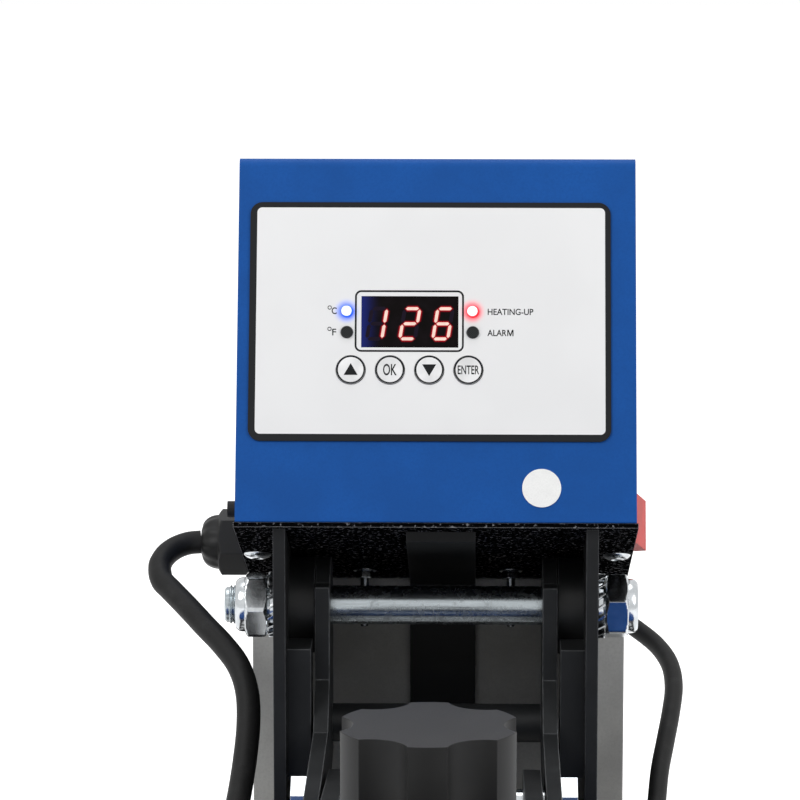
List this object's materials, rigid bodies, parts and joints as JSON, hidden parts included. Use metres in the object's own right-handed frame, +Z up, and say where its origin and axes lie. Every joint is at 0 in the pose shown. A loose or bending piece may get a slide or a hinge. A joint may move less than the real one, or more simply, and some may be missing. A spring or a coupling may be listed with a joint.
{
  "type": "flat heat press",
  "caption": "Clamshell flat heat press: tilted control box over a pivot shaft, arms with a pressure knob, heated upper platen, padded lower platen, hand lever and steel base.",
  "frame": {"origin": "on the floor under the middle of the closed press", "axes": "+Z up, the operator stands at -Y, +X to the right as seen from the front"},
  "size_m": [0.38, 0.6946, 0.4199],
  "materials": {
    "black_steel": "satin black paint",
    "black_rubber": "matt",
    "black_plastic": "satin",
    "cable_sheath": "matt",
    "grey_steel": "satin grey paint",
    "zinc": "zinc plated",
    "bright_steel": "ground",
    "silicone": "sponge",
    "blue_paint": "mottled powder coat",
    "overlay_white": "satin film",
    "sticker_white": "matt",
    "display_black": "gloss",
    "lamp_blue": "lit",
    "lamp_red": "lit",
    "lamp_clear": "unlit",
    "board_green": "lacquered",
    "core_steel": "varnished",
    "cream_plastic": "satin",
    "rocker_red": "gloss",
    "plate_aluminium": "machined",
    "heater_steel": "heat tinted",
    "insulation": "matt"
  },
  "bodies": {
    "base": {"side_rails": "black_steel", "cross_bars": "black_steel", "rail_end_caps": "black_plastic", "rubber_feet": "black_rubber", "platen_posts": "zinc", "lower_platen": "black_steel", "silicone_pad": "silicone", "uprights": "black_steel", "upright_bolts": "zinc", "rear_panel": "grey_steel", "centre_strap": "black_steel", "press_bar": "zinc", "main_shaft": "bright_steel", "shaft_spacers": "black_steel", "lock_washers": "zinc", "shaft_nuts": "zinc", "arm_guides": "black_steel", "box_tray": "black_steel", "box_cover": "blue_paint", "cover_screws": "zinc", "box_screws": "zinc", "tray_bolts": "zinc", "panel_overlay": "overlay_white", "round_sticker": "sticker_white", "display_module": "display_black", "heat_lamp": "lamp_red", "scale_lamp": "lamp_blue", "spare_lamps": "lamp_clear", "control_board": "board_green", "board_posts": "zinc", "transformer": "core_steel", "power_relay": "cream_plastic", "terminal_block": "cream_plastic", "switch_housing": "black_plastic", "power_inlet": "black_plastic", "cable_glands": "black_plastic", "heater_cable": "cable_sheath", "sensor_cable": "cable_sheath"},
    "arm": {"arm_plates": "black_steel", "arm_braces": "black_steel", "arm_bolts": "zinc", "handle_pin": "zinc"},
    "handle": {"handle_bars": "black_steel", "handle_block": "black_steel", "handle_rod": "black_steel", "handle_grip": "black_rubber"},
    "platen": {"heat_plate": "plate_aluminium", "heating_element": "heater_steel", "insulation_board": "insulation", "platen_cover": "blue_paint", "cable_grommets": "black_rubber", "pressure_mount": "black_steel", "platen_bolts": "zinc"},
    "pressure": {"pressure_screw": "bright_steel", "pressure_knob": "black_plastic"},
    "rocker": {"switch_rocker": "rocker_red"},
    "key_up": {"button_up": "overlay_white"},
    "key_ok": {"button_ok": "overlay_white"},
    "key_down": {"button_down": "overlay_white"},
    "key_enter": {"button_enter": "overlay_white"}
  },
  "joints": [
    {"name": "arm_hinge", "type": "hinge", "parent": "base", "child": "arm", "pos_m": [0, 0.19729, 0.2353], "axis": [-1, 0, 0], "range_deg": [0, 45]},
    {"name": "handle_hinge", "type": "hinge", "parent": "arm", "child": "handle", "pos_m": [0, 0.10729, 0.1753], "axis": [-1, 0, 0], "range_deg": [0, 36]},
    {"name": "platen_slide", "type": "slide", "parent": "arm", "child": "platen", "axis": [0, 0, 1], "range_m": [0, 0.008]},
    {"name": "knob_turn", "type": "hinge", "parent": "platen", "child": "pressure", "pos_m": [0, -0.08771, 0.2273], "axis": [0, 0, 1], "range_deg": [0, 1440]},
    {"name": "switch_tilt", "type": "hinge", "parent": "base", "child": "rocker", "pos_m": [0.0795, 0.24624, 0.26072], "axis": [0, 0.3584, 0.9336], "range_deg": [0, 22]},
    {"name": "up_press", "type": "slide", "parent": "base", "child": "key_up", "axis": [0, 0.9336, -0.3584], "range_m": [0, 0.0008], "stiffness_N_per_m": 400},
    {"name": "ok_press", "type": "slide", "parent": "base", "child": "key_ok", "axis": [0, 0.9336, -0.3584], "range_m": [0, 0.0008], "stiffness_N_per_m": 400},
    {"name": "down_press", "type": "slide", "parent": "base", "child": "key_down", "axis": [0, 0.9336, -0.3584], "range_m": [0, 0.0008], "stiffness_N_per_m": 400},
    {"name": "enter_press", "type": "slide", "parent": "base", "child": "key_enter", "axis": [0, 0.9336, -0.3584], "range_m": [0, 0.0008], "stiffness_N_per_m": 400}
  ],
  "couplings": [
    {"joint": "handle_hinge", "follows": "arm_hinge", "ratio": 0.8},
    {"joint": "knob_turn", "follows": "platen_slide", "rad_per_m": 3141.6}
  ]
}
